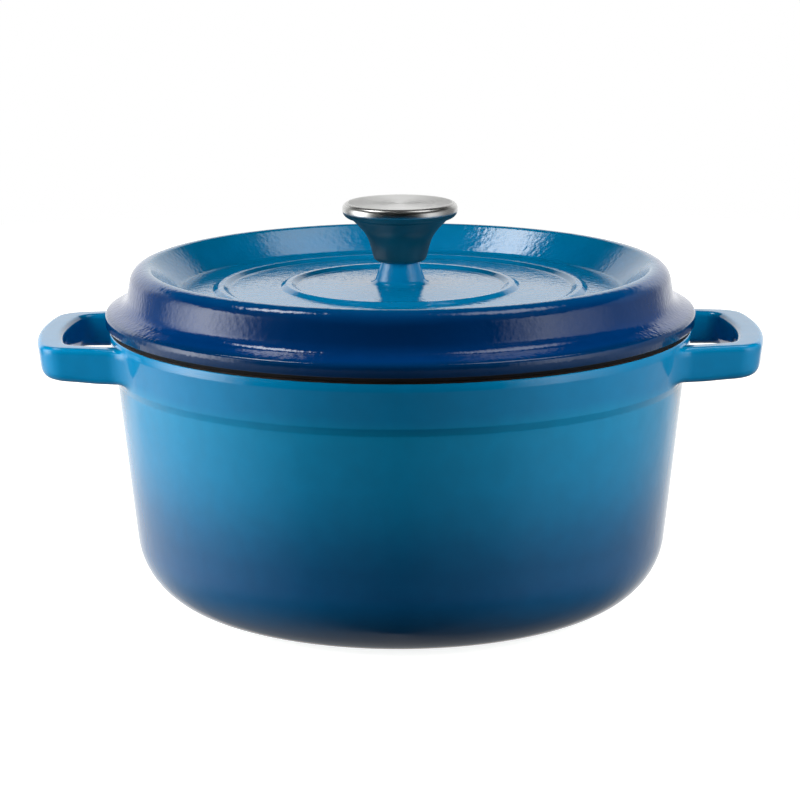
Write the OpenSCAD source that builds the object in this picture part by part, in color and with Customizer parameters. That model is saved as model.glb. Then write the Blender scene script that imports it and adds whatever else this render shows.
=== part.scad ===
// Enamelled cast iron dutch oven, 24 cm: a round pot with two loop handles and a
// recessed lid that carries a steel knob.
// Millimetres, +Z up, +X towards the right handle, origin under the pot's centre.

/* [Pot] */
// Outer radius of the pot at its rim
rim_r = 126.8; // [122:0.1:132]
// Height of the bare iron seat that the lid rests on
rim_z = 122.3; // [110:0.1:132]
// Draft of the wall, in degrees from vertical
wall_draft = 6; // [4:0.1:7]
// Wall thickness, enamel included
wall_t = 3.7; // [3.5:0.1:6]
// Thickness of the floor
floor_t = 4.1; // [4:0.1:7]
// Radius of the curve at the foot of the wall
base_corner_r = 32; // [28:0.5:36]
// Radius of the curve at the edge of the base
base_edge_r = 22; // [15:0.5:26]
// Height of the thicker band under the rim
band_h = 19.8; // [14:0.1:24]
// How far the band stands out from the wall
band_out = 0.9; // [0.3:0.1:1.5]
// Outer radius of the foot ring
foot_r = 87; // [80:0.1:87.5]
// Width of the foot ring
foot_w = 6.5; // [4:0.1:9]
// Height of the foot ring
foot_h = 1; // [0.6:0.1:1.5]

/* [Handles] */
// Reach of each handle from the pot's centre
handle_reach = 158.1; // [150:0.1:162]
// Half the handle's width where it leaves the wall
handle_half_w = 48.4; // [44:0.1:52]
// Top face of the handles
handle_top_z = 119.5; // [116:0.1:121]
// Height of the handle's bar at the wall
handle_h = 16.7; // [12:0.1:17]
// Thickness of the bar across the handle's end
handle_bar = 11.8; // [8:0.1:12]

/* [Lid] */
// Radius of the lid's flange
flange_r = 128.2; // [127.6:0.1:132]
// Height of the flange's edge above the seat
flange_h = 6.6; // [5:0.1:8]
// Height of the lid's rim crest above the seat
crest_h = 26.1; // [22:0.1:30]
// Depth of the recess below the crest, at its outer foot
recess_depth = 11.3; // [9:0.1:12]
// Radius of the recess at its foot
recess_r = 96.8; // [92:0.1:99]
// Rise of the recessed plate for each millimetre towards the centre
plate_slope = 0.029; // [0.01:0.001:0.04]
// Thickness of the lid, enamel included
lid_t = 3.5; // [3.4:0.1:5.5]
// Radii of the raised rings on the plate
ring_radii = [48.5, 78];
// Height of the raised rings
ring_h = 1.5; // [1:0.1:2.2]
// Depth of the lip that centres the lid in the mouth
lip_h = 4.7; // [3:0.1:7]
// Gap between the lip and the mouth
lip_gap = 0.75; // [0.4:0.05:1.5]

/* [Knob] */
// Radius of the knob's polished bead
knob_r = 25; // [22:0.1:28]
// Height of the knob above the stem
knob_h = 25.6; // [22:0.1:30]
// Radius of the knob's foot
knob_foot_r = 11.05; // [10:0.05:12.5]
// Radius of the screw's shank
screw_r = 2.95; // [2.45:0.05:3.1]

/* [Hidden] */
$fn = 180;

pot_blue = "steelblue";
lid_blue = "navy";
steel = "silver";

arc_step = 8;      // degrees of turn for each straight piece of a rounded corner
eps = 0.5;         // overrun of cutting shapes

// ---------- paths ----------
// A path is a list of [x, y] or [x, y, corner radius].

function flat(p) = [p.x, p.y];
function corner_r(p) = len(p) > 2 ? p.z : 0;
function unit(v) = v / norm(v);
function left(v) = [-v.y, v.x];
function reversed(list) = [for (i = [len(list) - 1 : -1 : 0]) list[i]];
function mirrored_y(path) = [for (p = reversed(path)) [p.x, -p.y, corner_r(p)]];

// Angle that a path turns through at b on its way from a to c, positive to the left.
function turn(a, b, c) =
    let (u = b - a, v = c - b)
    atan2(u.x * v.y - u.y * v.x, u * v);

function spun(v, angle) =
    [v.x * cos(angle) - v.y * sin(angle), v.x * sin(angle) + v.y * cos(angle)];

// The arc that replaces the corner b between a and c.
function corner_arc(a, b, c, r) =
    let (
        t = turn(a, b, c),
        u = unit(b - a),
        start = b - u * r * tan(abs(t) / 2),
        centre = start + left(u) * r * sign(t),
        steps = max(2, ceil(abs(t) / arc_step))
    )
    [for (k = [0 : steps]) centre + spun(start - centre, t * k / steps)];

function rounded(path) =
    let (last = len(path) - 1)
    [for (i = [0 : last])
        each i == 0 || i == last || corner_r(path[i]) == 0
            ? [flat(path[i])]
            : corner_arc(flat(path[i - 1]), flat(path[i]), flat(path[i + 1]), corner_r(path[i]))];

module turned(points) {
    rotate_extrude() polygon(points);
}

// ---------- pot ----------
wall_lean = tan(wall_draft);
function wall_r(z) = rim_r - band_out - (rim_z - z) * wall_lean;

bare_h = 1.1;                           // bare iron above the enamel's edge
bare_in = 0.5;                          // step down from the enamel to the bare iron
band_z = rim_z - band_h;
crease_h = 3.2;                         // height of the band's sloping underside
enamel_edge_z = rim_z - bare_h;
floor_z = foot_h + floor_t;
corner_z = 10;                          // where the wall's line meets the base's bevel
base_r = foot_r + 4.6;                  // where the bevel's line meets the base
mouth_r = wall_r(rim_z) - wall_t;

pot_outer = [
    [foot_r, foot_h],
    [base_r, foot_h, base_edge_r],
    [wall_r(corner_z), corner_z, base_corner_r],
    [wall_r(band_z - crease_h), band_z - crease_h, 3],
    [wall_r(band_z) + band_out, band_z, 2.5],
    [wall_r(enamel_edge_z) + band_out, enamel_edge_z],
];
pot_rim = [
    [rim_r - bare_in, enamel_edge_z + 0.1],
    [rim_r - bare_in, rim_z, 0.7],
    [mouth_r + bare_in, rim_z, 0.5],
    [mouth_r + bare_in, enamel_edge_z + 0.1],
];
pot_inner = [
    [wall_r(enamel_edge_z) - wall_t, enamel_edge_z],
    [wall_r(corner_z) - wall_t, corner_z + 4.6, base_corner_r - 4],
    [base_r - 1, floor_z, base_edge_r - 4],
    [0, floor_z],
];

module pot_casting() {
    color(pot_blue)
    turned(concat(
        [[foot_r - foot_w, foot_h], [foot_r - foot_w, 0], [foot_r, 0]],
        rounded(pot_outer),
        rounded(pot_rim),
        rounded(pot_inner),
        [[0, foot_h]]
    ));
}

// ---------- handles ----------
handle_lean = 0.2;                       // inward lean of the handle's sides
handle_end_rise = 2.4;                   // rise of the underside towards the end
handle_end_r = 160;                      // radius of the end's outward bow
handle_end_in = 1.8;                     // draft of the end face over the bar's height
handle_corner_x = handle_reach - 5;
handle_root_x = sqrt(rim_r * rim_r - handle_half_w * handle_half_w);
function handle_side_y(x) = handle_half_w - (x - handle_root_x) * handle_lean;
function handle_end_x(y) = handle_reach - y * y / (2 * handle_end_r);
function wall_x(y) = sqrt(rim_r * rim_r - y * y);

hole_root_y = 39;
hole_end_y = 33.4;
hole_end_r = 130;
function hole_end_x(y) = handle_reach - handle_bar - y * y / (2 * hole_end_r);
inside_wall_x = 100;                     // well inside the wall, where the loop is cut off

handle_outline = [
    [inside_wall_x, handle_half_w + 10],
    [wall_x(handle_half_w + 9) - 0.4, handle_half_w + 9],
    [handle_root_x, handle_half_w, 9],
    [handle_corner_x, handle_side_y(handle_corner_x), 13],
    for (y = [24, 16, 8]) [handle_end_x(y), y],
];
hole_outline = [
    [inside_wall_x, 20],
    [wall_x(27) - 0.2, 27],
    [wall_x(hole_root_y) - 0.2, hole_root_y, 4.5],
    [hole_end_x(hole_end_y), hole_end_y, 8],
    for (y = [20, 10]) [hole_end_x(y), y],
];
handle_side = [
    [inside_wall_x, handle_top_z - handle_h],
    [handle_reach - handle_end_in, handle_top_z - handle_h + handle_end_rise, 5.5],
    [handle_reach, handle_top_z, 2],
    [inside_wall_x, handle_top_z],
];

function loop_path(half, end_x) = concat(half, [[end_x, 0]], mirrored_y(half));

// The right side's loop. It is cast with the pot, and ends where it meets the wall.
module handle() {
    color(pot_blue)
    difference() {
        intersection() {
            linear_extrude(height = rim_z)
                difference() {
                    polygon(rounded(loop_path(handle_outline, handle_end_x(0))));
                    polygon(rounded(loop_path(hole_outline, hole_end_x(0))));
                }
            rotate([90, 0, 0])
                linear_extrude(height = 3 * handle_half_w, center = true)
                    polygon(rounded(handle_side));
        }
        turned(concat(rounded(pot_outer), [[0, enamel_edge_z], [0, foot_h]]));
    }
}

module right_handle() {
    handle();
}

module left_handle() {
    rotate(180) handle();
}

// ---------- lid ----------
seat_edge_h = 1.3;                       // bare iron under the flange's enamel
crest_z = rim_z + crest_h;
recess_z = crest_z - recess_depth;
flange_z = rim_z + flange_h;
riser_foot_r = 119.2;
riser_foot_z = flange_z + 3.8;
riser_top_r = 116.5;
crest_inner_r = 109;
stem_foot_r = 11.3;
stem_top_r = 8.1;
stem_top_z = crest_z + 1;
stem_hole_r = 3.4;
boss_r = 10.5;

function plate_z(r) = recess_z + (recess_r - r) * plate_slope;

ring_half_w = 3.4;
ring_crown = 1.1;                        // half the width of a ring's top
function ring_path(r) = [
    [r + ring_half_w, plate_z(r + ring_half_w), 1.6],
    [r + ring_crown, plate_z(r) + ring_h, 1.2],
    [r - ring_crown, plate_z(r) + ring_h, 1.2],
    [r - ring_half_w, plate_z(r - ring_half_w), 1.6],
];

lid_outer = concat(
    [
        [flange_r, rim_z + seat_edge_h],
        [flange_r, flange_z, 1.8],
        [riser_foot_r, riser_foot_z, 4.5],
        [riser_top_r, crest_z, 7],
        [crest_inner_r, crest_z, 3.2],
        [recess_r, recess_z, 4],
    ],
    ring_path(ring_radii[1]),
    ring_path(ring_radii[0]),
    [
        [stem_foot_r, plate_z(stem_foot_r), 3.2],
        [stem_top_r, stem_top_z, 0.6],
        [stem_hole_r, stem_top_z],
    ]
);

boss_z = recess_z - lid_t - 0.1;
lip_r = mouth_r - lip_gap;
lip_z = rim_z - lip_h;

lid_inner = [
    [stem_hole_r, boss_z],
    [boss_r, boss_z, 0.6],
    [boss_r + 0.9, plate_z(boss_r) - lid_t, 1.2],
    [recess_r + 1.8, recess_z - lid_t, 5],
    [crest_inner_r + 1.4, crest_z - lid_t, 2.2],
    [riser_top_r - lid_t + 1.4, crest_z - lid_t, 2.2],
    [riser_foot_r - lid_t, riser_foot_z, 6],
    [lip_r - 3.9, lip_z, 1.2],
    [lip_r - 0.3, lip_z, 1.4],
    [lip_r, rim_z, 0.4],
    [flange_r - 1.6, rim_z, 0.5],
    [flange_r - 0.5, rim_z + seat_edge_h],
];

module lid_casting() {
    color(lid_blue) turned(concat(rounded(lid_outer), rounded(lid_inner)));
}

// ---------- knob ----------
knob_foot_z = stem_top_z;
knob_top_z = knob_foot_z + knob_h;
bell_t = 1.5;
bead_h = 6.8;                            // height of the cap's rounded edge
cap_t = 2.4;
bell_rim_z = knob_top_z - bead_h;
waist_z = knob_foot_z + 0.45 * knob_h;

bell_outer = [
    [stem_hole_r, knob_foot_z],
    [knob_foot_r, knob_foot_z, 2.4],
    [knob_foot_r + 3.1, waist_z, 17],
    [knob_r - 3.7, bell_rim_z],
];
bell_inner = [
    [stem_hole_r, knob_foot_z + bell_t],
    [knob_foot_r - 1.25, knob_foot_z + bell_t, 1],
    [knob_foot_r + 1.6, waist_z + 0.6, 15.5],
    [knob_r - 5.9, bell_rim_z],
];

module knob_bell() {
    color(steel) turned(concat(rounded(bell_outer), reversed(rounded(bell_inner))));
}

cap_path = [
    [0, knob_top_z - cap_t],
    [knob_r - 5, knob_top_z - cap_t],
    [knob_r - 5, bell_rim_z],
    [knob_r, bell_rim_z, 3.6],
    [knob_r, knob_top_z, 2.6],
    [knob_r - 4.5, knob_top_z, 5],
    [0, knob_top_z - 0.7],
];

module knob_cap() {
    color(steel) turned(rounded(cap_path));
}

insert_r = 6;
insert_z = knob_foot_z + bell_t;
insert_h = 15;
insert_top_t = 2;
thread_clear = 0.08;

module knob_insert() {
    color(steel)
    difference() {
        translate([0, 0, insert_z]) cylinder(r = insert_r, h = insert_h);
        translate([0, 0, insert_z - eps])
            cylinder(r = screw_r + thread_clear, h = insert_h - insert_top_t + eps);
    }
}

// ---------- fastener under the lid ----------
washer_t = 1.2;
spring_t = 1.5;
head_r = 5.6;
head_h = 3.6;
head_z = boss_z - washer_t - spring_t;   // bearing face of the screw's head
screw_top_z = insert_z + insert_h - 4;

module ring(outer, inner, height) {
    difference() {
        cylinder(r = outer, h = height);
        translate([0, 0, -eps]) cylinder(r = inner, h = height + 2 * eps);
    }
}

module flat_washer() {
    color(steel) translate([0, 0, boss_z - washer_t]) ring(7.5, screw_r + 0.25, washer_t);
}

module spring_washer() {
    color(steel)
    difference() {
        translate([0, 0, head_z]) ring(5.3, screw_r + 0.2, spring_t);
        translate([4.2, 0, head_z + spring_t / 2]) rotate([25, 0, 0]) cube([4, 0.9, 4], center = true);
    }
}

module knob_screw() {
    slot_w = 1.5;
    slot_deep = 2;
    color(steel)
    difference() {
        turned(rounded([
            [0, head_z - head_h],
            [head_r - 1.4, head_z - head_h + 0.2, 2],
            [head_r, head_z - head_h + 1.6, 1.2],
            [head_r, head_z],
            [screw_r, head_z],
            [screw_r, screw_top_z - 0.8],
            [screw_r - 0.8, screw_top_z],
            [0, screw_top_z],
        ]));
        for (quarter = [0, 90])
            rotate(quarter)
                translate([0, 0, head_z - head_h])
                    cube([6.2, slot_w, 2 * slot_deep], center = true);
    }
}

pot_casting();
left_handle();
right_handle();
lid_casting();
knob_bell();
knob_cap();
knob_insert();
knob_screw();
spring_washer();
flat_washer();
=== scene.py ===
import bpy
import bmesh
from math import atan2, ceil, cos, pi, radians, sin, sqrt, tan
from mathutils import Matrix, Vector


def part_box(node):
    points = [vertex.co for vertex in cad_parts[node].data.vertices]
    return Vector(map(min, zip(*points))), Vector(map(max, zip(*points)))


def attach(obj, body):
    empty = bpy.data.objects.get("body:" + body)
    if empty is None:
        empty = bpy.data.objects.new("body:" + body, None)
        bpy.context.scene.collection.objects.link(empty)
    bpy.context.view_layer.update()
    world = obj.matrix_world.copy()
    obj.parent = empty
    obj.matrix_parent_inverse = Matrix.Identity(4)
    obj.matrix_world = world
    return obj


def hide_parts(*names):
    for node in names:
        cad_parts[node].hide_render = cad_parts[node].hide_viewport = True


# Enamelled cast iron dutch oven, 24 cm. Profiles are in millimetres, meshes in metres.

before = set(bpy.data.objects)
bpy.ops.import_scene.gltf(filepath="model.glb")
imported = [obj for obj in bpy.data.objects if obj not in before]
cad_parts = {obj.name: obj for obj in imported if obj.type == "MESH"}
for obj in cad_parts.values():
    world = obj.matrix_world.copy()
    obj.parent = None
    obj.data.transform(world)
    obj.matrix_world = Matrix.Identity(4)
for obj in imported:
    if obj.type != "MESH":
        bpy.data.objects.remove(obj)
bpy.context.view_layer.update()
mm = 0.001


def boxMm(node):
    low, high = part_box(node)
    return low / mm, high / mm


potHigh = boxMm("pot_casting")[1]
handleLow, handleHigh = boxMm("right_handle")
lidHigh = boxMm("lid_casting")[1]
bellLow, bellHigh = boxMm("knob_bell")
capHigh = boxMm("knob_cap")[1]
print("frame loaded", [round(v, 1) for v in (potHigh.z, lidHigh.z, capHigh.z)])


# ---- profiles: lists of (x, y) or (x, y, corner radius) ----

def roundCorners(path, arcStep=5):
    points = []
    for i, corner in enumerate(path):
        here = Vector(corner[:2])
        radius = corner[2] if len(corner) > 2 else 0
        if radius == 0 or i in (0, len(path) - 1):
            points.append(here)
            continue
        back = (here - Vector(path[i - 1][:2])).normalized()
        ahead = (Vector(path[i + 1][:2]) - here).normalized()
        turn = atan2(back.x * ahead.y - back.y * ahead.x, back.dot(ahead))
        start = here - back * radius * tan(abs(turn) / 2)
        side = 1 if turn > 0 else -1
        centre = start + Vector((-back.y, back.x)) * radius * side
        count = max(3, ceil(abs(turn) / radians(arcStep)))
        for k in range(count + 1):
            points.append(centre + Matrix.Rotation(turn * k / count, 2) @ (start - centre))
    return points


def spaced(points, longest=4):
    # adds points on long straight runs, so that smooth shading stays even
    result = [points[0]]
    for a, b in zip(points, points[1:]):
        pieces = max(1, ceil((b - a).length / longest))
        result += [a.lerp(b, k / pieces) for k in range(1, pieces + 1)]
    return result


def profileRadius(points, z):
    # how far a turned profile is from the axis at one height
    for a, b in zip(points, points[1:]):
        if min(a.y, b.y) <= z <= max(a.y, b.y) and a.y != b.y:
            return a.x + (b.x - a.x) * (z - a.y) / (b.y - a.y)
    return points[-1].x if z > points[-1].y else points[0].x


def finishMesh(name, mesh, materials, body, nodes):
    bmesh.ops.remove_doubles(mesh, verts=mesh.verts, dist=0.5e-6)
    bmesh.ops.recalc_face_normals(mesh, faces=mesh.faces)
    data = bpy.data.meshes.new(name)
    mesh.to_mesh(data)
    mesh.free()
    piece = bpy.data.objects.new(name, data)
    bpy.context.scene.collection.objects.link(piece)
    for material in materials:
        data.materials.append(material)
    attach(piece, body)
    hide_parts(*nodes)
    print("made", name, len(data.polygons), "faces")


def turnParts(parts, steps=360, closed=False):
    # parts: (points, material number, sharp at its start) joined end to end, spun round Z
    mesh = bmesh.new()
    rings, kinds, sharpRings = [], [], set()
    for points, kind, sharp in parts:
        if sharp:
            sharpRings.add(max(0, len(rings) - 1))
        first = 1 if rings else 0
        for p in points[first:]:
            rings.append(p)
            kinds.append(kind)
    if closed:
        rings.append(rings[0])
        kinds.append(kinds[-1])
    loops = []
    for i, p in enumerate(rings):
        if closed and i == len(rings) - 1:
            loops.append(loops[0])
        elif p.x < 1e-6:
            loops.append([mesh.verts.new((0, 0, p.y * mm))] * steps)
        else:
            loops.append([mesh.verts.new((p.x * mm * cos(2 * pi * k / steps),
                                          p.x * mm * sin(2 * pi * k / steps), p.y * mm))
                          for k in range(steps)])
    for i in range(len(rings) - 1):
        a, b = loops[i], loops[i + 1]
        for k in range(steps):
            n = (k + 1) % steps
            corners = []
            for v in (a[k], a[n], b[n], b[k]):
                if v not in corners:
                    corners.append(v)
            if len(corners) > 2:
                face = mesh.faces.new(corners)
                face.material_index = kinds[i + 1]
                face.smooth = True
    for i in sharpRings:
        for k in range(steps):
            edge = mesh.edges.get((loops[i][k], loops[i][(k + 1) % steps]))
            if edge:
                edge.smooth = False
    return mesh


# ---- materials ----

def linear(hexColour):
    values = [int(hexColour[i:i + 2], 16) / 255 for i in (1, 3, 5)]
    return [v / 12.92 if v < 0.04045 else ((v + 0.055) / 1.055) ** 2.4 for v in values] + [1]


def addNode(tree, kind, settings, links=None):
    node = tree.nodes.new("ShaderNode" + kind)
    for key, value in settings.items():
        if key == "stops":
            ramp = node.color_ramp
            while len(ramp.elements) < len(value):
                ramp.elements.new(0.5)
            for element, (place, colour) in zip(ramp.elements, value):
                element.position = place
                element.color = linear(colour) if isinstance(colour, str) else [colour] * 3 + [1]
        elif isinstance(key, str) and hasattr(node, key):
            setattr(node, key, value)
        else:
            node.inputs[key].default_value = value
    for socket, source in (links or {}).items():
        tree.links.new(source, node.inputs[socket])
    return node


def newMaterial(name):
    material = bpy.data.materials.new(name)
    material.use_nodes = True
    material.node_tree.nodes.clear()
    return material, material.node_tree


def placeOf(tree):
    # the point on the piece, its distance from the Z axis and its height
    place = addNode(tree, "TexCoord", {}).outputs["Object"]
    axes = addNode(tree, "SeparateXYZ", {}, {0: place})
    flatPlace = addNode(tree, "CombineXYZ", {}, {"X": axes.outputs["X"], "Y": axes.outputs["Y"]})
    reach = addNode(tree, "VectorMath", {"operation": "LENGTH"}, {0: flatPlace.outputs[0]})
    return place, reach.outputs["Value"], axes.outputs["Z"]


def patchesOf(tree, place, size, detail, crispness=0.5):
    # soft noise, in patches of about this many millimetres
    node = addNode(tree, "TexNoise", {"Scale": 1 / (size * mm), "Detail": detail,
                                      "Roughness": crispness}, {"Vector": place})
    return node.outputs[0]


def spread(tree, source, results, sources=(0.3, 0.7)):
    # noise stays near its middle, so that stretch of it is spread over the results
    node = addNode(tree, "MapRange", {"From Min": sources[0], "From Max": sources[1],
                                      "To Min": results[0], "To Max": results[1]},
                   {"Value": source})
    return node.outputs[0]


def bumpsOf(tree, source, height, strength=1.0, over=None):
    links = {"Height": source}
    if over is not None:
        links["Normal"] = over
    return addNode(tree, "Bump", {"Distance": height * mm, "Strength": strength},
                   links).outputs[0]


def finishMaterial(tree, settings, links):
    shader = addNode(tree, "BsdfPrincipled", settings, links)
    addNode(tree, "OutputMaterial", {}, {"Surface": shader.outputs[0]})


# Vitreous enamel, sprayed and fired on sand-cast iron: a glass coat, so sharp reflections over
# deep colour, with the faint waviness that the iron's grain leaves in it.
def firedEnamel(name, settings, along):
    material, tree = newMaterial(name)
    place, reach, height = placeOf(tree)
    # the spray's edge drifts a little on its way round
    drift = settings["drift"] * mm
    shift = spread(tree, patchesOf(tree, place, 60, 2.0), (-drift, drift))
    moved = addNode(tree, "Math", {"operation": "ADD"},
                    {0: height if along == "height" else reach, 1: shift})
    low, high = settings["fade"][0][0], settings["fade"][-1][0]
    scaled = addNode(tree, "MapRange", {"From Min": low * mm, "From Max": high * mm},
                     {"Value": moved.outputs[0]})
    stops = [((at - low) / (high - low), colour) for at, colour in settings["fade"]]
    colour = addNode(tree, "ValToRGB", {"stops": stops}, {0: scaled.outputs[0]})
    # the colour is a few percent deeper and paler, over patches about 8 mm wide
    patches = patchesOf(tree, place, 8, 3.0)
    mottle = settings["mottle"]
    tone = spread(tree, patches, (1 - mottle, 1 + mottle), (0.25, 0.75))
    toned = addNode(tree, "HueSaturation", {}, {"Value": tone, "Color": colour.outputs[0]})
    # orange peel, two or three millimetres from bump to bump, over slower waves
    peel = patchesOf(tree, place, settings["peelSize"], 1.5, 0.45)
    fine = bumpsOf(tree, peel, settings["peelHeight"])
    wavy = bumpsOf(tree, patchesOf(tree, place, 14, 1.0), settings["waveHeight"], over=fine)
    finishMaterial(tree, {"IOR": 1.52},
                   {"Base Color": toned.outputs[0], "Normal": wavy,
                    "Roughness": spread(tree, patches, settings["roughness"])})
    return material


# Bare grey iron, ground flat and seasoned: black-brown, dull, with a fine grain.
def seasonedIron(name, settings):
    material, tree = newMaterial(name)
    place = placeOf(tree)[0]
    grain = patchesOf(tree, place, settings["grain"], 4.0)
    stains = patchesOf(tree, place, 12, 2.0)
    colour = addNode(tree, "ValToRGB", {"stops": settings["stops"]}, {0: stains})
    finishMaterial(tree, {"IOR": 1.4},
                   {"Base Color": colour.outputs[0],
                    "Roughness": spread(tree, grain, settings["roughness"], (0, 1)),
                    "Normal": bumpsOf(tree, grain, settings["grainDepth"], 0.8)})
    return material


# Stainless steel turned on a lathe: hair-fine rings round the axis stretch each highlight across
# them. The rings are drawn about five times as coarse as real ones, or they would not show.
def turnedSteel(name, settings):
    material, tree = newMaterial(name)
    place, reach, height = placeOf(tree)
    rings = addNode(tree, "CombineXYZ", {}, {"X": reach, "Y": height})
    lines = patchesOf(tree, rings.outputs[0], settings["lineWidth"], 2.0)
    blotch = patchesOf(tree, place, 9, 2.0)
    colour = addNode(tree, "ValToRGB", {"stops": settings["stops"]}, {0: blotch})
    around = addNode(tree, "Tangent", {"direction_type": "RADIAL", "axis": "Z"})
    finishMaterial(tree, {"Metallic": 1.0, "Anisotropic": settings["anisotropy"]},
                   {"Base Color": colour.outputs[0], "Tangent": around.outputs[0],
                    "Roughness": spread(tree, lines, settings["roughness"]),
                    "Normal": bumpsOf(tree, lines, settings["lineDepth"])})
    return material


# "fade" gives the colour at heights, or at radii on the lid, in millimetres
# On the pot, the stop at 14 mm is lighter than those above it: painted light where the wall
# turns under towards the foot. The band from 107 mm up is a shade darker than the wall below it,
# partly the enamel's own tone and partly painted shade from the lid flange's overhang.
potEnamel = firedEnamel("firedEnamelBlueFade", {
    "fade": [(14, "#006AA6"), (30, "#005A94"), (40, "#005C94"), (52, "#006AA2"), (64, "#007BB3"),
             (76, "#0086BE"), (101, "#008CC2"), (107, "#007EB7"), (122, "#007DB5")],
    "drift": 1.6, "mottle": 0.05, "roughness": (0.07, 0.12),
    "peelSize": 3.2, "peelHeight": 0.035, "waveHeight": 0.12}, "height")
lidEnamel = firedEnamel("firedEnamelBlueLid", {
    "fade": [(103, "#0076AE"), (109, "#0073A6"), (113, "#004580"), (117, "#002B5E"),
             (120, "#002F68"), (125, "#003573"), (128, "#002E5C")],
    "drift": 0.6, "mottle": 0.05, "roughness": (0.08, 0.14),
    "peelSize": 2.2, "peelHeight": 0.11, "waveHeight": 0.1}, "reach")
creamEnamel = firedEnamel("firedEnamelCream", {
    "fade": [(0, "#E9E2D2"), (120, "#EFE9DC")],
    "drift": 1.0, "mottle": 0.02, "roughness": (0.08, 0.14),
    "peelSize": 3.0, "peelHeight": 0.03, "waveHeight": 0.1}, "height")
bareIron = seasonedIron("seasonedCastIron", {
    "stops": [(0.35, "#0C0908"), (0.7, "#1F1612")], "grain": 0.5, "grainDepth": 0.06,
    "roughness": (0.65, 0.9)})
satinSteel = turnedSteel("satinStainlessTurned", {
    "stops": [(0.3, "#C9C9C7"), (0.7, "#D0D0CE")], "lineWidth": 0.35, "lineDepth": 0.012,
    "roughness": (0.32, 0.42), "anisotropy": 0.5})
# The bell's steel is darker and warmer than the cap's: painted shade under the cap, and a warm
# tint that cancels the blue the lid reflects into it.
shadedBellSteel = turnedSteel("satinStainlessBellShaded", {
    "stops": [(0.3, "#8F8882"), (0.7, "#99928C")], "lineWidth": 0.35, "lineDepth": 0.008,
    "roughness": (0.36, 0.44), "anisotropy": 0.75})
beadSteel = turnedSteel("satinStainlessBead", {
    "stops": [(0.3, "#C2C2C0"), (0.7, "#CDCDCB")], "lineWidth": 0.5, "lineDepth": 0.003,
    "roughness": (0.24, 0.32), "anisotropy": 0.3})
zincSteel = turnedSteel("plainStainlessFastener", {
    "stops": [(0.3, "#A9ABAC"), (0.7, "#BBBCBC")], "lineWidth": 0.4, "lineDepth": 0.006,
    "roughness": (0.24, 0.34), "anisotropy": 0.0})
print("materials ready")


# ---- pot casting ----

rimZ = potHigh.z
lean = tan(radians(6))
pot = {
    "bandOut": 0.9, "bandHeight": 19.8, "creaseHeight": 3.2,
    "bareHeight": 1.1, "bareStep": 0.5, "wall": 3.7, "floor": 4.1,
    "footRadius": 87, "footWidth": 6.5, "footHeight": 1,
    "baseRadius": 91.6, "baseEdge": 22, "cornerZ": 10, "cornerRadius": 32,
    "insideTighter": 4, "insideCornerUp": 4.6, "creaseRadius": 4, "bandRadius": 3,
    "glazeEdge": 0.35, "footEdge": 0.3,
}
edgeZ = rimZ - pot["bareHeight"]
rimR = potHigh.x + pot["bareHeight"] * lean


def wallR(z):
    return rimR - pot["bandOut"] - (rimZ - z) * lean


bandZ = rimZ - pot["bandHeight"]
creaseZ = bandZ - pot["creaseHeight"]
mouthR = wallR(rimZ) - pot["wall"]
floorZ = pot["footHeight"] + pot["floor"]
footInner = pot["footRadius"] - pot["footWidth"]

potOuter = spaced(roundCorners([
    (pot["footRadius"], pot["footHeight"]),
    (pot["baseRadius"], pot["footHeight"], pot["baseEdge"]),
    (wallR(pot["cornerZ"]), pot["cornerZ"], pot["cornerRadius"]),
    (wallR(creaseZ), creaseZ, pot["creaseRadius"]),
    (wallR(bandZ) + pot["bandOut"], bandZ, pot["bandRadius"]),
    (wallR(edgeZ) + pot["bandOut"] - 0.02, edgeZ - pot["glazeEdge"]),
    (wallR(edgeZ) + pot["bandOut"] - pot["glazeEdge"], edgeZ),
]))
potRim = roundCorners([
    (wallR(edgeZ) + pot["bandOut"] - pot["glazeEdge"], edgeZ),
    (rimR - pot["bareStep"], edgeZ + 0.05),
    (rimR - pot["bareStep"], rimZ, 0.7),
    (mouthR + pot["bareStep"], rimZ, 0.5),
    (mouthR + pot["bareStep"], edgeZ + 0.05),
    (mouthR + pot["glazeEdge"], edgeZ),
], 15)
potInner = spaced(roundCorners([
    (mouthR + pot["glazeEdge"], edgeZ),
    (wallR(edgeZ) - pot["wall"], edgeZ - pot["glazeEdge"]),
    (wallR(pot["cornerZ"]) - pot["wall"], pot["cornerZ"] + pot["insideCornerUp"],
     pot["cornerRadius"] - pot["insideTighter"]),
    (pot["baseRadius"] - 1, floorZ, pot["baseEdge"] - pot["insideTighter"]),
    (0, floorZ),
]), 6)
footStart = Vector((footInner - 2 * pot["footEdge"], pot["footHeight"]))
potUnder = spaced([Vector((0, pot["footHeight"])), footStart], 6)
potFoot = roundCorners([
    footStart,
    (footInner, pot["footHeight"] - 0.1),
    (footInner + pot["footEdge"], 0, pot["footEdge"]),
    (pot["footRadius"] - pot["footEdge"], 0, pot["footEdge"]),
    (pot["footRadius"], pot["footHeight"]),
], 20)
potMesh = turnParts([(potUnder, 0, False), (potFoot, 2, True), (potOuter, 0, True),
                     (potRim, 2, True), (potInner, 1, True)])
finishMesh("potCasting", potMesh, [potEnamel, creamEnamel, bareIron],
           "pot", ["pot_casting"])


# ---- handles ----

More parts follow.
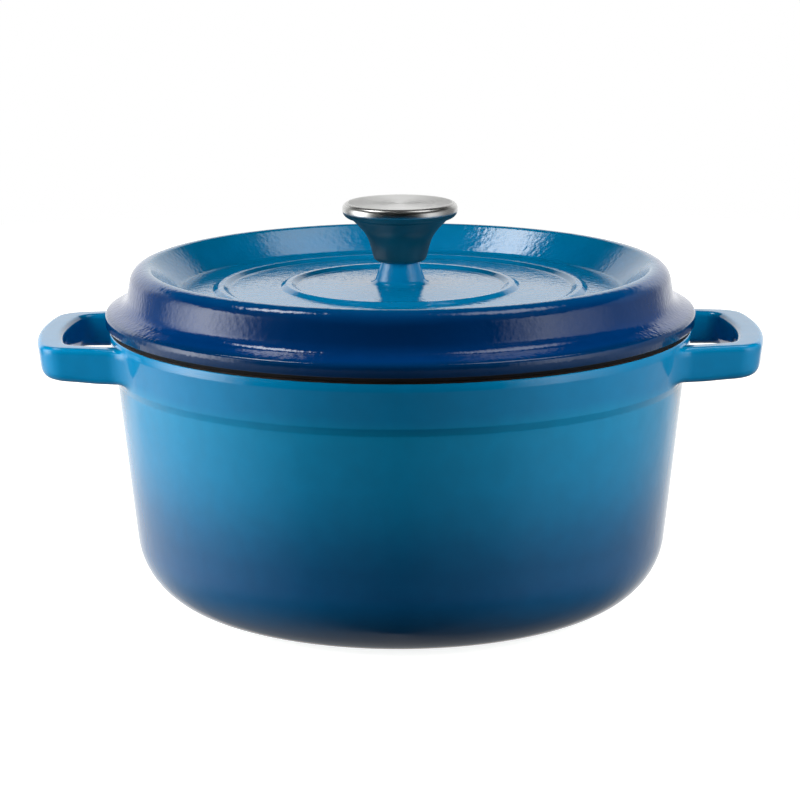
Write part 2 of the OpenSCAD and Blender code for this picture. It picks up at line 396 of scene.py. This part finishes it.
loop = {
    "halfWidth": 48.4, "sideLean": 0.2, "outerCorner": 13, "endRadius": 160, "arcHalf": 24,
    "holeHalfRoot": 39, "holeHalfEnd": 33.4, "holeCorner": 8, "holeEndRadius": 130,
    "holeArcHalf": 20, "bar": 11.6, "cornerIn": 5, "straightFrom": 12, "sunk": 0.6,
    "undersideFrom": 118, "undersideRise": 1.7, "draft": 1.7,
    "underTilt": 0.8, "topEdge": 2.4, "sideLowEdge": 3.0, "endLowEdge": 4.8, "innerLowEdge": 3.5,
    "rootFilletOut": 7.0, "rootFilletIn": 4.5, "rootFilletLow": 2.5, "rootFilletTop": 1.5,
    "straightSteps": 9, "cornerSteps": 18, "endSteps": 12, "edgeSteps": 6, "faceSteps": 4,
    "filletSteps": 9,
}
reachX = handleHigh.x
topZ = handleHigh.z
lowZ = handleLow.z
rootX = sqrt(rimR ** 2 - loop["halfWidth"] ** 2)
holeRootX = sqrt(rimR ** 2 - loop["holeHalfRoot"] ** 2)
holeEndX = reachX - loop["bar"]
holeCornerX = holeEndX - loop["holeHalfEnd"] ** 2 / (2 * loop["holeEndRadius"])


def outerSideY(x):
    return loop["halfWidth"] - (x - rootX) * loop["sideLean"]


def innerSideY(x):
    share = (x - holeRootX) / (holeCornerX - holeRootX)
    return loop["holeHalfRoot"] + (loop["holeHalfEnd"] - loop["holeHalfRoot"]) * share


def undersideZ(x):
    start = loop["undersideFrom"]
    return lowZ + loop["undersideRise"] * (x - start) / (reachX - start)


def railPoints(sideY, startX, cornerX, cornerRadius, endX, endRadius, arcHalf):
    # one side, one corner and half of the bowed end, then their mirror image; each stretch
    # always has the same count of points, so that two rails can be paired
    def bowed(y):
        return Vector((endX - y * y / (2 * endRadius), y))

    a = Vector((startX, sideY(startX)))
    turn = roundCorners([a, (cornerX, sideY(cornerX), cornerRadius), bowed(arcHalf)],
                        90 / loop["cornerSteps"])[1:-1]
    straight = [a.lerp(turn[0], k / loop["straightSteps"]) for k in range(loop["straightSteps"])]
    corner = []
    for k in range(loop["cornerSteps"] + 1):
        at = k / loop["cornerSteps"] * (len(turn) - 1)
        i = min(int(at), len(turn) - 2)
        corner.append(turn[i].lerp(turn[i + 1], at - i))
    steps = loop["endSteps"]
    end = [bowed(turn[-1].y * (1 - k / steps)) for k in range(1, steps + 1)]
    half = straight + corner + end
    return half + [Vector((p.x, -p.y)) for p in half[-2::-1]]


def barSection(width, bottom, top, lowEdge):
    # a rounded rectangle: 0 is the hole side, width is the outside, running round once
    path = []
    for x, y, centreX, centreY, radius, start in (
            (width, bottom, -1, 1, lowEdge, -90),
            (width, top, -1, -1, loop["topEdge"], 0),
            (0, top, 1, -1, loop["topEdge"], 90),
            (0, bottom, 1, 1, loop["innerLowEdge"], 180)):
        for k in range(loop["edgeSteps"] + 1):
            angle = radians(start + 90 * k / loop["edgeSteps"])
            path.append((x + centreX * radius + radius * cos(angle),
                         y + centreY * radius + radius * sin(angle), cos(angle), sin(angle)))
    dense = []
    for i, (x, y, dx, dy) in enumerate(path):
        dense.append((x, y, dx, dy))
        if (i + 1) % (loop["edgeSteps"] + 1):
            continue
        nextX, nextY = path[(i + 1) % len(path)][:2]
        for k in range(1, loop["faceSteps"]):
            share = k / loop["faceSteps"]
            dense.append((x + (nextX - x) * share, y + (nextY - y) * share, dx, dy))
    # the outside leans in towards the bottom and the underside rises towards the hole, as a
    # pattern must to leave the sand
    section = []
    for x, y, dx, dy in dense:
        depth = (top - y) / (top - bottom)
        section.append((x - loop["draft"] * depth * x / width,
                        y + loop["underTilt"] * depth * (1 - x / width), dx, dy))
    return section


def wallX(y, z):
    radius = profileRadius(potOuter, z)
    return sqrt(max(radius ** 2 - y ** 2, 0))


def rootRings(startX, mirror):
    # from a ring sunk in the wall, out along the fillet, to the start of the bar
    made = []
    width = outerSideY(startX) - innerSideY(startX)
    section = barSection(width, undersideZ(startX), topZ, loop["sideLowEdge"])
    for k in range(-1, loop["filletSteps"] + 1):
        ring = []
        for s, z, ds, dz in section:
            share = s / width
            out = loop["rootFilletOut"] if ds > 0 else loop["rootFilletIn"]
            up = loop["rootFilletTop"] if dz > 0 else loop["rootFilletLow"]
            fillet = out * ds * ds + up * dz * dz
            angle = pi / 2 * (1 - max(k, 0) / loop["filletSteps"])
            flare = 1 - cos(angle)
            heightZ = z + flare * up * dz
            # where the bar meets the round wall depends on y, and y on that place: three
            # rounds settle it
            x = wallX(innerSideY(rootX) + s, z) + fillet
            for _ in range(3):
                y = innerSideY(x) + share * (outerSideY(x) - innerSideY(x)) + flare * out * ds
                x = wallX(y, heightZ) + fillet * (1 - sin(angle))
            if k < 0:
                x -= loop["sunk"]
            ring.append((x, -y if mirror else y, heightZ))
        made.append(ring)
    return made


def makeHandle(name, node, side):
    mesh = bmesh.new()
    startX = rootX + loop["straightFrom"]
    outer = railPoints(outerSideY, startX, reachX - loop["cornerIn"], loop["outerCorner"],
                       reachX, loop["endRadius"], loop["arcHalf"])
    inner = railPoints(innerSideY, startX, holeCornerX, loop["holeCorner"],
                       holeEndX, loop["holeEndRadius"], loop["holeArcHalf"])
    rings = rootRings(startX, False)
    for o, i in zip(outer, inner):
        across = o - i
        width = across.length
        direction = across / width
        towardsEnd = direction.x ** 2
        lowEdge = loop["sideLowEdge"] + (loop["endLowEdge"] - loop["sideLowEdge"]) * towardsEnd
        section = barSection(width, undersideZ((o.x + i.x) / 2), topZ, lowEdge)
        rings.append([(i.x + direction.x * s, i.y + direction.y * s, z)
                      for s, z, ds, dz in section])
    rings += rootRings(startX, True)[::-1]
    loops = [[mesh.verts.new((side * x * mm, side * y * mm, z * mm)) for x, y, z in ring]
             for ring in rings]
    count = len(loops[0])
    for a, b in zip(loops, loops[1:]):
        for k in range(count):
            n = (k + 1) % count
            face = mesh.faces.new((a[k], a[n], b[n], b[k]))
            face.smooth = True
    for end, near in ((0, 1), (-1, -2)):
        mesh.faces.new(loops[end])
        for k in range(count):
            for ring in (loops[end], loops[near]):
                mesh.edges.get((ring[k], ring[(k + 1) % count])).smooth = False
    finishMesh(name, mesh, [potEnamel], "pot", [node])


makeHandle("handleRight", "right_handle", 1)
makeHandle("handleLeft", "left_handle", -1)


# ---- lid casting ----

lid = {
    "flangeHeight": 6.6, "seatEdge": 1.6, "crestHeight": 26.1, "recessDepth": 11.3,
    "recessRadius": 96.8, "plateSlope": 0.029, "thickness": 3.5,
    "riserFootRadius": 119.2, "riserTopRadius": 116.5, "crestInnerRadius": 109,
    "riserFootUp": 3.8, "seatInset": 0.3, "underTopInset": 1.4, "underTopRadius": 2.2,
    "ringRadii": (78, 48.5), "ringHeight": 1.5, "ringHalf": 3.4, "ringCrown": 1.1,
    "stemFoot": 11.3, "stemTop": 8.1, "stemHole": 3.4, "bossRadius": 10.5,
    "lipHeight": 4.7, "lipGap": 0.75, "lipWidth": 3.9, "lipUnderRim": 0.5,
}
flangeR = lidHigh.x
crestZ = rimZ + lid["crestHeight"]
recessZ = crestZ - lid["recessDepth"]
flangeZ = rimZ + lid["flangeHeight"]
stemTopZ = lidHigh.z
riserFootZ = flangeZ + lid["riserFootUp"]


def plateZ(r):
    return recessZ + (lid["recessRadius"] - r) * lid["plateSlope"]


def ringPath(r):
    half, crown, height = lid["ringHalf"], lid["ringCrown"], lid["ringHeight"]
    return [(r + half, plateZ(r + half), 1.6), (r + crown, plateZ(r) + height, 1.4),
            (r - crown, plateZ(r) + height, 1.4), (r - half, plateZ(r - half), 1.6)]


seatEdgeZ = rimZ + lid["seatEdge"]
lidOuter = spaced(roundCorners(
    [(flangeR - lid["seatInset"], seatEdgeZ), (flangeR, seatEdgeZ + 0.4),
     (flangeR, flangeZ, 1.8),
     (lid["riserFootRadius"], riserFootZ, 6.5),
     (lid["riserTopRadius"], crestZ, 7),
     (lid["crestInnerRadius"], crestZ, 3.2),
     (lid["recessRadius"], recessZ, 4)]
    + ringPath(lid["ringRadii"][0]) + ringPath(lid["ringRadii"][1])
    + [(lid["stemFoot"], plateZ(lid["stemFoot"]), 3.2),
       (lid["stemTop"], stemTopZ, 0.5),
       (lid["stemHole"], stemTopZ)]))
bossZ = recessZ - lid["thickness"] - 0.1
underTopZ = crestZ - lid["thickness"]
lipR = mouthR - lid["lipGap"]
lipZ = rimZ - lid["lipHeight"]
lidHole = [Vector((lid["stemHole"], stemTopZ)), Vector((lid["stemHole"], bossZ))]
lidUnder = spaced(roundCorners([
    (lid["stemHole"], bossZ),
    (lid["bossRadius"], bossZ, 0.6),
    (lid["bossRadius"] + 0.9, plateZ(lid["bossRadius"]) - lid["thickness"], 1.2),
    (lid["recessRadius"] + 1.8, recessZ - lid["thickness"], 5),
    (lid["crestInnerRadius"] + lid["underTopInset"], underTopZ, lid["underTopRadius"]),
    (lid["riserTopRadius"] - lid["thickness"] + lid["underTopInset"], underTopZ,
     lid["underTopRadius"]),
    (lid["riserFootRadius"] - lid["thickness"], riserFootZ, 6),
    (lipR - lid["lipWidth"], lipZ, 1.2),
    (lipR - 0.3, lipZ, 1.4),
    (lipR, rimZ - lid["lipUnderRim"]),
]), 5)
lidSeat = roundCorners([
    (lipR, rimZ - lid["lipUnderRim"]),
    (lipR + 0.1, rimZ, 0.3),
    (flangeR - 1.6, rimZ, 0.5),
    (flangeR - 0.5, seatEdgeZ - 0.1),
    (flangeR - lid["seatInset"], seatEdgeZ),
], 15)
lidMesh = turnParts([(lidOuter, 0, False), (lidHole, 2, True), (lidUnder, 1, True),
                     (lidSeat, 2, True)], closed=True)
finishMesh("lidCasting", lidMesh, [lidEnamel, creamEnamel, bareIron],
           "lid", ["lid_casting"])


# ---- knob ----

knob = {
    "footRadius": 11.05, "footCorner": 2.4, "sheet": 1.5, "waist": 0.45, "waistOut": 3.1,
    "waistRadius": 17, "insideWaistUp": 0.6, "insideFootOut": 0.25, "rimIn": 3.7,
    "rimThickness": 2.2, "beadInside": 5, "beadLow": 3.6, "beadHigh": 2.6, "beadShadeShare": 0.7,
    "plate": 2.4, "dish": 0.7,
}
knobFootZ = bellLow.z
bellRimZ = bellHigh.z
knobTopZ = capHigh.z
knobR = capHigh.x
waistZ = knobFootZ + knob["waist"] * (knobTopZ - knobFootZ)
bellRimR = knobR - knob["rimIn"]
bellOuter = spaced(roundCorners([
    (lid["stemHole"], knobFootZ),
    (knob["footRadius"], knobFootZ, knob["footCorner"]),
    (knob["footRadius"] + knob["waistOut"], waistZ, knob["waistRadius"]),
    (bellRimR, bellRimZ),
], 3), 1.5)
bellInner = spaced(roundCorners([
    (bellRimR, bellRimZ),
    (bellRimR - knob["rimThickness"], bellRimZ),
    (knob["footRadius"] + knob["waistOut"] - knob["sheet"], waistZ + knob["insideWaistUp"],
     knob["waistRadius"] - knob["sheet"]),
    (knob["footRadius"] - knob["sheet"] + knob["insideFootOut"], knobFootZ + knob["sheet"], 1),
    (lid["stemHole"], knobFootZ + knob["sheet"]),
], 6), 2)
bellMesh = turnParts([(bellOuter, 0, False), (bellInner, 0, True)], steps=240, closed=True)
finishMesh("knobBell", bellMesh, [shadedBellSteel], "lid", ["knob_bell"])

beadInsideR = knobR - knob["beadInside"]
plateUnderZ = knobTopZ - knob["plate"]
capUnder = roundCorners([
    (0, plateUnderZ),
    (beadInsideR, plateUnderZ, 1),
    (beadInsideR, bellRimZ),
])
beadShadeTopZ = bellRimZ + knob["beadLow"] * knob["beadShadeShare"]
beadUnder = roundCorners([
    (beadInsideR, bellRimZ),
    (knobR, bellRimZ, knob["beadLow"]),
    (knobR, knobTopZ),
], 6)
bead = roundCorners([
    (knobR, bellRimZ + knob["beadLow"]),
    (knobR, knobTopZ, knob["beadHigh"]),
    (knobR - knob["beadHigh"], knobTopZ),
], 6)
# the bead's underside takes the bell's darker steel: painted shade where it faces down towards
# the lid
bead = [v for v in beadUnder[:-1] if v.y >= beadShadeTopZ] + bead
beadUnder = [v for v in beadUnder if v.y < beadShadeTopZ] + [bead[0]]
capTop = spaced(roundCorners([
    bead[-1],
    (beadInsideR + 0.5, knobTopZ, 5),
    (0, knobTopZ - knob["dish"]),
], 1), 2)
capMesh = turnParts([(capUnder, 0, False), (beadUnder, 2, True), (bead, 1, False),
                     (capTop, 0, False)], steps=240)
finishMesh("knobCap", capMesh, [satinSteel, beadSteel, shadedBellSteel],
           "lid", ["knob_cap"])


# ---- fasteners keep their CAD shape ----

for nodeName in ("knob_insert", "knob_screw", "spring_washer", "flat_washer"):
    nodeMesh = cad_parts[nodeName].data
    nodeMesh.materials.clear()
    nodeMesh.materials.append(zincSteel)
print("fasteners finished")


# ---- stage ----

stage = {"floorRadius": 1.1, "floorColour": "#F4F4F2", "floorCloud": "#F1F1EF",
         "floorGlow": 0.98, "lightTint": "#FFFFF5", "aimHeight": 0.1}


def makeFloor():
    mesh = bmesh.new()
    bmesh.ops.create_circle(mesh, cap_ends=True, segments=96, radius=stage["floorRadius"])
    data = bpy.data.meshes.new("floor")
    mesh.to_mesh(data)
    mesh.free()
    floor = bpy.data.objects.new("floor", data)
    bpy.context.scene.collection.objects.link(floor)
    material, tree = newMaterial("paleStudioFloor")
    place = addNode(tree, "TexCoord", {}).outputs["Object"]
    cloud = addNode(tree, "TexNoise", {"Scale": 3.0}, {"Vector": place})
    stops = [(0.3, stage["floorCloud"]), (0.7, stage["floorColour"])]
    colour = addNode(tree, "ValToRGB", {"stops": stops}, {0: cloud.outputs[0]})
    finishMaterial(tree, {"Roughness": 0.9, "Specular IOR Level": 0.0,
                          "Emission Color": linear(stage["floorColour"]),
                          "Emission Strength": stage["floorGlow"]},
                   {"Base Color": colour.outputs[0]})
    data.materials.append(material)
    # gloss and bounce see the dim studio instead of a glowing table
    floor.visible_glossy = False
    floor.visible_diffuse = False


makeFloor()

# Soft lights. Directions are counted in degrees from the camera's side, positive to the left.
# Gloss doesn't see them: it sees the studio that the world below draws.
softBoxes = {
    "leftLight": {"around": 68, "distance": 0.42, "height": 0.25, "size": 0.4, "power": 1.85},
    "leftLowLight": {"around": 76, "distance": 0.42, "height": 0.2, "size": 0.4, "power": 0.5},
    "rightLight": {"around": -60, "distance": 0.42, "height": 0.3, "size": 0.4, "power": 1.85},
    "topLight": {"around": 180, "distance": 0.15, "height": 1.6, "size": 1.0, "power": 4.2},
    "backLight": {"around": 180, "distance": 0.9, "height": 0.35, "size": 0.6, "power": 2.8},
}
for boxName, spec in softBoxes.items():
    light = bpy.data.lights.new(boxName, "AREA")
    light.shape = "DISK"
    light.size = spec["size"]
    light.energy = spec["power"]
    light.color = linear(stage["lightTint"])[:3]
    lamp = bpy.data.objects.new(boxName, light)
    around = radians(spec["around"])
    lamp.location = (-sin(around) * spec["distance"], -cos(around) * spec["distance"],
                     spec["height"])
    aim = Vector((0, 0, stage["aimHeight"])) - lamp.location
    lamp.rotation_euler = aim.to_track_quat("-Z", "Y").to_euler()
    lamp.visible_camera = False
    lamp.visible_glossy = False
    bpy.context.scene.collection.objects.link(lamp)


# The studio as gloss sees it: brightness round the room at table height and at eye height, then
# round lamps overhead. Each pair is (degrees from the camera's side, brightness), and each lamp
# is (degrees round, degrees up, radius of its bright core, radius of its edge, brightness).
# The five heights that follow the pairs are degrees up.
studio = {
    "brightest": 5,
    "table": [(-180, 1.1), (-135, 0.65), (-115, 0.45), (-60, 0.36), (-40, 0.2), (0, 0.07),
              (40, 0.16), (60, 0.4), (90, 0.8), (115, 1.0), (180, 1.1)],
    "eyeLevel": [(-180, 1.2), (-146, 1.1), (-134, 0.3), (-100, 0.28), (-75, 1.05), (-62, 1.7),
                 (-40, 0), (58, 0), (64, 0.5), (76, 3.2), (88, 4.8), (112, 0.8), (118, 0.12),
                 (130, 0.3), (140, 1.2), (180, 1.2)],
    "nearTable": -42, "tableTop": -19, "eyeFrom": -13, "eyeTo": 24, "ceilingFrom": 30,
    "lamps": [(108, 62, 2, 11, 9.5), (-103, 66, 3, 16, 3.0)],
    "nearTableShare": 0.36, "fill": "#63656A", "fillPower": 0.35,
}


def studioWorld():
    world = bpy.data.worlds.new("studio")
    world.use_nodes = True
    world.cycles.sampling_method = "NONE"  # gloss and fill are told apart by the ray alone
    bpy.context.scene.world = world
    tree = world.node_tree
    tree.nodes.clear()
    ray = addNode(tree, "TexCoord", {}).outputs["Generated"]
    axes = addNode(tree, "SeparateXYZ", {}, {0: ray})
    left = addNode(tree, "Math", {"operation": "MULTIPLY", 1: -1.0}, {0: axes.outputs["X"]})
    front = addNode(tree, "Math", {"operation": "MULTIPLY", 1: -1.0}, {0: axes.outputs["Y"]})
    around = addNode(tree, "Math", {"operation": "ARCTAN2"}, {0: left.outputs[0],
                                                             1: front.outputs[0]})
    turned = addNode(tree, "MapRange", {"From Min": -pi, "From Max": pi},
                     {"Value": around.outputs[0]})
    up = addNode(tree, "Math", {"operation": "ARCSINE"}, {0: axes.outputs["Z"]})

    def band(levels):
        stops = [((at + 180) / 360, level / studio["brightest"]) for at, level in levels]
        return addNode(tree, "ValToRGB", {"stops": stops}, {0: turned.outputs[0]}).outputs[0]

    def between(low, high):
        return addNode(tree, "MapRange", {"interpolation_type": "SMOOTHSTEP",
                                          "From Min": radians(low), "From Max": radians(high)},
                       {"Value": up.outputs[0]}).outputs[0]

    def mixed(share, first, second):
        node = addNode(tree, "Mix", {"data_type": "RGBA"})
        for socket, source in ((0, share), (6, first), (7, second)):
            if isinstance(source, list):
                node.inputs[socket].default_value = source
            else:
                tree.links.new(source, node.inputs[socket])
        return node.outputs[2]

    # the table is darker close by, where the pot keeps the light off it
    nearTable = [(at, level * studio["nearTableShare"]) for at, level in studio["table"]]
    table = mixed(between(studio["nearTable"], studio["tableTop"]), band(nearTable),
                  band(studio["table"]))
    seen = mixed(between(studio["tableTop"], studio["eyeFrom"]), table,
                 band(studio["eyeLevel"]))
    seen = mixed(between(studio["eyeTo"], studio["ceilingFrom"]), seen, [0, 0, 0, 1])
    for azimuth, height, core, edge, power in studio["lamps"]:
        a, h = radians(azimuth), radians(height)
        place = (-sin(a) * cos(h), -cos(a) * cos(h), sin(h))
        near = addNode(tree, "VectorMath", {"operation": "DOT_PRODUCT", 1: place}, {0: ray})
        glow = addNode(tree, "MapRange", {"interpolation_type": "SMOOTHSTEP",
                                          "From Min": cos(radians(edge)),
                                          "From Max": cos(radians(core)),
                                          "To Max": power / studio["brightest"]},
                       {"Value": near.outputs["Value"]})
        seen = addNode(tree, "MixRGB", {"blend_type": "ADD", 0: 1.0},
                       {1: seen, 2: glow.outputs[0]}).outputs[0]
    path = addNode(tree, "LightPath", {})
    fill = addNode(tree, "Background", {"Color": linear(studio["fill"]),
                                        "Strength": studio["fillPower"]})
    gloss = addNode(tree, "Background", {"Strength": studio["brightest"]}, {"Color": seen})
    backdrop = addNode(tree, "Background", {"Color": linear("#FFFFFF"), "Strength": 1.0})
    first = addNode(tree, "MixShader", {}, {0: path.outputs["Is Glossy Ray"], 1: fill.outputs[0],
                                            2: gloss.outputs[0]})
    both = addNode(tree, "MixShader", {}, {0: path.outputs["Is Camera Ray"], 1: first.outputs[0],
                                           2: backdrop.outputs[0]})
    addNode(tree, "OutputWorld", {}, {"Surface": both.outputs[0]})


studioWorld()

# ---- camera ----

view = {"distance": 1.26, "height": 0.364, "side": -0.0003, "pitch": 12.39, "roll": -0.235,
        "lens": 132.1}
cameraData = bpy.data.cameras.new("camera")
cameraData.lens = view["lens"]
cameraData.sensor_width = 36
camera = bpy.data.objects.new("camera", cameraData)
camera.location = (view["side"], -view["distance"], view["height"])
camera.rotation_euler = (Matrix.Rotation(radians(90 - view["pitch"]), 3, "X")
                         @ Matrix.Rotation(radians(view["roll"]), 3, "Z")).to_euler()
bpy.context.scene.collection.objects.link(camera)
bpy.context.scene.camera = camera
bpy.context.scene.view_settings.view_transform = "Standard"
print("stage ready")
